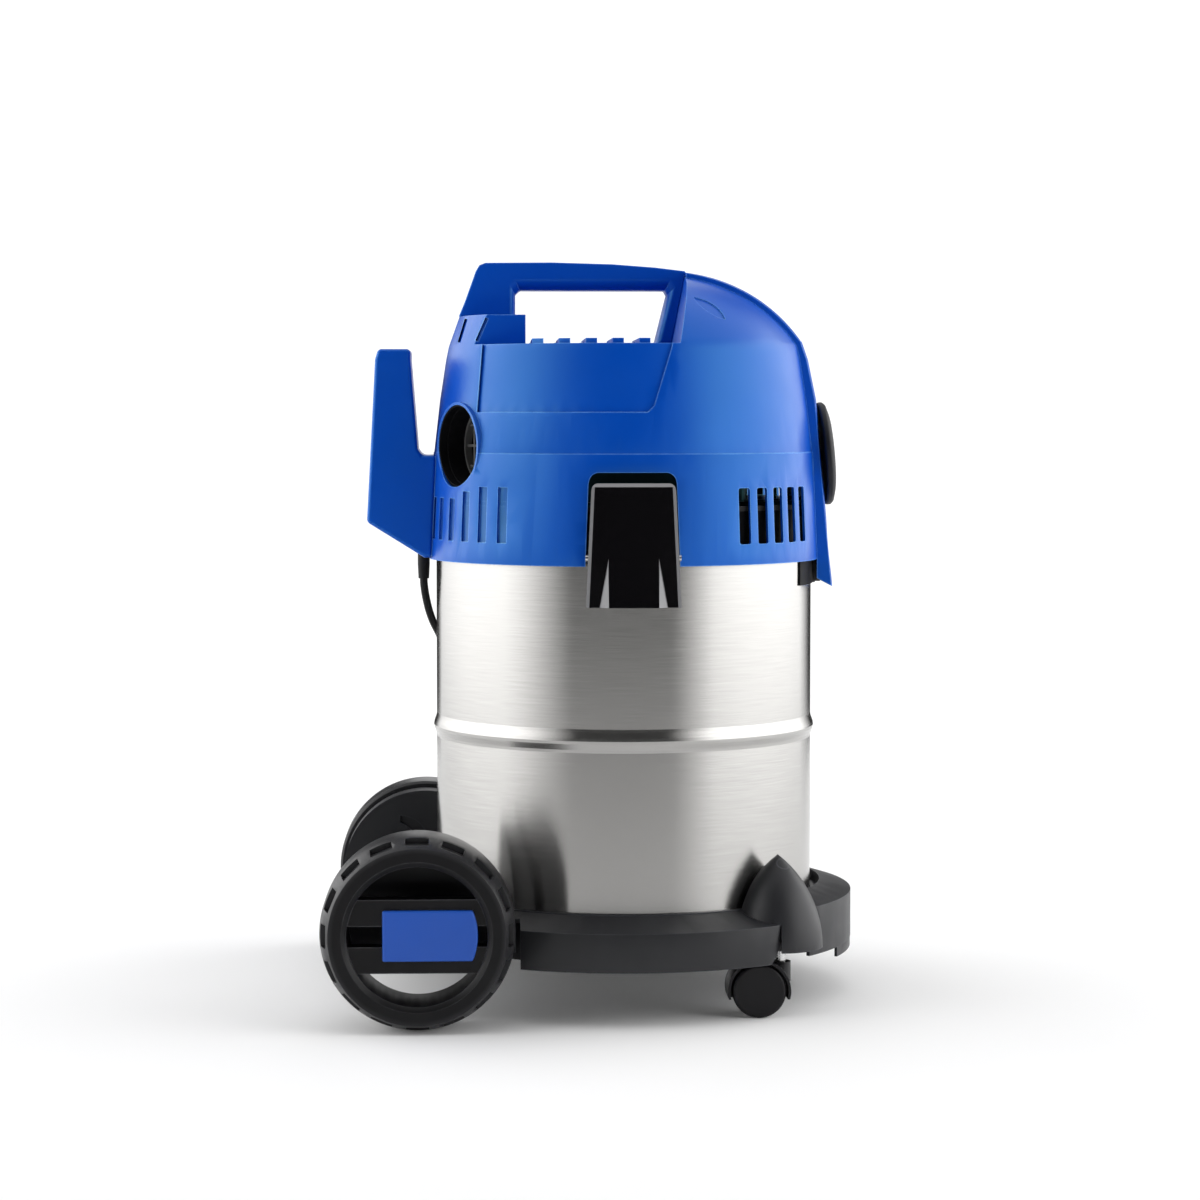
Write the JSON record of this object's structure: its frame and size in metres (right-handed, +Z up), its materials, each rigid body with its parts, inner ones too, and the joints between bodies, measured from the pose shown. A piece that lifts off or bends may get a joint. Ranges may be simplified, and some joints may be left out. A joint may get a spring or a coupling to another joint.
{
  "type": "shop vacuum",
  "caption": "Wet and dry shop vacuum: brushed steel tank on a four-wheeled trolley under a lift-off motor head with handle, latches, knob, hook and mains cord.",
  "frame": {"origin": "on the floor under the middle of the object's length, without the cord", "axes": "+X to the front (knob and hose inlet), +Y to the left, +Z up"},
  "size_m": [0.432, 0.5162, 0.5985],
  "materials": {
    "tank_steel": "brushed round the tank",
    "bright_steel": "turned",
    "blue_plastic": "satin",
    "black_plastic": "satin",
    "gloss_black": "gloss",
    "grey_plastic": "fine grain",
    "grille_plastic": "satin",
    "cream_plastic": "satin",
    "black_rubber": "matt",
    "cast_alloy": "as cast",
    "copper_windings": "enamelled wire",
    "lamination_steel": "lacquered stack",
    "brass": "drawn",
    "board_green": "circuit board",
    "filter_paper": "pleated paper"
  },
  "bodies": {
    "chassis": {"tank_wall": "tank_steel", "tank_floor": "tank_steel", "tank_gasket": "black_rubber", "inlet_fitting": "black_plastic", "latch_bracket_near": "black_plastic", "latch_bracket_far": "black_plastic", "latch_pin_near": "bright_steel", "latch_pin_far": "bright_steel", "trolley_base": "grey_plastic", "caster_pod_near": "grey_plastic", "caster_pod_far": "grey_plastic", "pod_plugs": "grey_plastic", "rear_axle": "bright_steel", "axle_clips": "bright_steel", "head_base": "blue_plastic", "head_cover": "blue_plastic", "front_spine": "blue_plastic", "handle": "blue_plastic", "cable_hook": "blue_plastic", "port_duct": "black_plastic", "port_grille": "grille_plastic", "cord_gland": "black_rubber", "head_screws": "bright_steel", "switch_body": "black_plastic", "control_board": "board_green", "motor_gasket": "black_rubber", "fan_housing": "cast_alloy", "diffuser": "grille_plastic", "stator": "lamination_steel", "motor_bracket": "cast_alloy", "brush_holder_near": "brass", "brush_holder_far": "brass", "bearing_lower": "bright_steel", "bearing_upper": "bright_steel", "motor_hood": "black_plastic", "float_cage": "black_plastic", "filter_element": "filter_paper", "filter_cap": "black_rubber", "cord_tube": "black_rubber", "cord_coil": "black_rubber", "cord_tail": "black_rubber", "cord_plug": "black_plastic"},
    "rear_wheel_assembly_near": {"rear_wheel_near": "black_plastic", "wheel_cap_near": "blue_plastic"},
    "rear_wheel_assembly_far": {"rear_wheel_far": "black_plastic", "wheel_cap_far": "blue_plastic"},
    "caster_near": {"caster_body_near": "black_plastic", "caster_stem_near": "bright_steel"},
    "caster_far": {"caster_body_far": "black_plastic", "caster_stem_far": "bright_steel"},
    "caster_roller_near": {"caster_wheels_near": "black_plastic"},
    "caster_roller_far": {"caster_wheels_far": "black_plastic"},
    "latch_lever_near": {"latch_near": "gloss_black"},
    "latch_lever_far": {"latch_far": "gloss_black"},
    "dial": {"knob": "black_plastic"},
    "rotor": {"motor_shaft": "bright_steel", "armature": "copper_windings", "fan_lower": "cast_alloy", "fan_upper": "cast_alloy"},
    "float": {"float_ball": "cream_plastic"}
  },
  "joints": [
    {"name": "rear_wheel_near_spin", "type": "hinge", "parent": "chassis", "child": "rear_wheel_assembly_near", "pos_m": [-0.1405, -0.184, 0.0755], "axis": [0, 1, 0], "continuous": true},
    {"name": "rear_wheel_far_spin", "type": "hinge", "parent": "chassis", "child": "rear_wheel_assembly_far", "pos_m": [-0.1405, 0.184, 0.0755], "axis": [0, 1, 0], "continuous": true},
    {"name": "caster_near_swivel", "type": "hinge", "parent": "chassis", "child": "caster_near", "pos_m": [0.145, -0.14, 0.06], "axis": [0, 0, 1], "continuous": true},
    {"name": "caster_far_swivel", "type": "hinge", "parent": "chassis", "child": "caster_far", "pos_m": [0.145, 0.14, 0.06], "axis": [0, 0, 1], "continuous": true},
    {"name": "caster_near_roll", "type": "hinge", "parent": "caster_near", "child": "caster_roller_near", "pos_m": [0.127, -0.14, 0.0213], "axis": [0, 1, 0], "continuous": true},
    {"name": "caster_far_roll", "type": "hinge", "parent": "caster_far", "child": "caster_roller_far", "pos_m": [0.127, 0.14, 0.0213], "axis": [0, 1, 0], "continuous": true},
    {"name": "latch_near_open", "type": "hinge", "parent": "chassis", "child": "latch_lever_near", "pos_m": [0.027, -0.1645, 0.363], "axis": [1, 0, 0], "range_deg": [0, 15]},
    {"name": "latch_far_open", "type": "hinge", "parent": "chassis", "child": "latch_lever_far", "pos_m": [0.027, 0.1645, 0.363], "axis": [-1, 0, 0], "range_deg": [0, 15]},
    {"name": "knob_turn", "type": "hinge", "parent": "chassis", "child": "dial", "pos_m": [0.18983, 0, 0.4417], "axis": [0.9959, 0, 0.0906], "range_deg": [0, 270]},
    {"name": "rotor_spin", "type": "hinge", "parent": "chassis", "child": "rotor", "pos_m": [0.027, 0, 0.46], "axis": [0, 0, 1], "continuous": true},
    {"name": "float_rise", "type": "slide", "parent": "chassis", "child": "float", "axis": [0, 0, 1], "range_m": [0, 0.035]}
  ]
}
